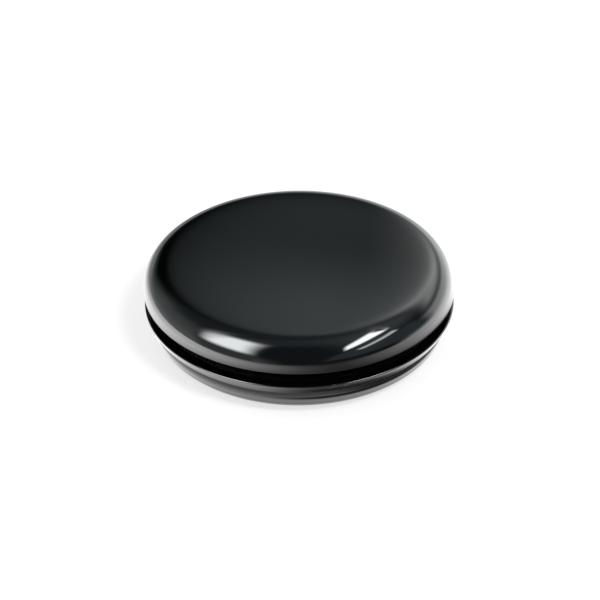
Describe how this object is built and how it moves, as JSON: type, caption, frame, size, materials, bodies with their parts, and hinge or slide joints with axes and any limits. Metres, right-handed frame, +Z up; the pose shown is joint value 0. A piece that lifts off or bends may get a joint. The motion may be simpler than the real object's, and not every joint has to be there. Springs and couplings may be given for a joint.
{
  "type": "desk grommet",
  "caption": "Round desk grommet: a glossy domed cover and a dished lower shell that clamp on both faces of a thin panel and close its hole.",
  "frame": {"origin": "centre of the underside, on the plane that the object rests on", "axes": "+Z up along the grommet's axis, towards the domed cover; +X along the knob's coin slot at rest"},
  "size_m": [0.08, 0.08, 0.0222],
  "materials": {
    "cover_plastic": "polished black moulded plastic",
    "shell_plastic": "semi-gloss black moulded plastic",
    "inner_plastic": "matt black moulded plastic",
    "knob_plastic": "satin black moulded plastic",
    "gasket_rubber": "matt black rubber",
    "zinc_steel": "zinc-plated steel",
    "spring_steel": "blackened spring steel",
    "nylon": "natural nylon",
    "brass": "turned brass"
  },
  "bodies": {
    "shell": {"lower_shell": "shell_plastic", "lower_gasket": "gasket_rubber", "thrust_washer": "nylon", "wave_washer": "spring_steel"},
    "cover": {"top_cover": "cover_plastic", "centring_plate": "inner_plastic", "cover_gasket": "gasket_rubber", "plate_screw_1": "zinc_steel", "plate_screw_2": "zinc_steel", "plate_screw_3": "zinc_steel", "clamp_stud": "zinc_steel", "stud_washer": "zinc_steel", "stop_clip": "spring_steel"},
    "knob": {"clamp_knob": "knob_plastic", "threaded_insert": "brass", "retaining_ring": "spring_steel"}
  },
  "joints": [
    {"name": "cover_lift", "type": "slide", "parent": "shell", "child": "cover", "axis": [0, 0, 1], "range_m": [0, 0.006]},
    {"name": "knob_turn", "type": "hinge", "parent": "shell", "child": "knob", "pos_m": [0, 0, 0.003], "axis": [0, 0, -1], "range_deg": [0, 1080]}
  ],
  "couplings": [
    {"joint": "knob_turn", "follows": "cover_lift", "rad_per_m": 3141.6}
  ]
}
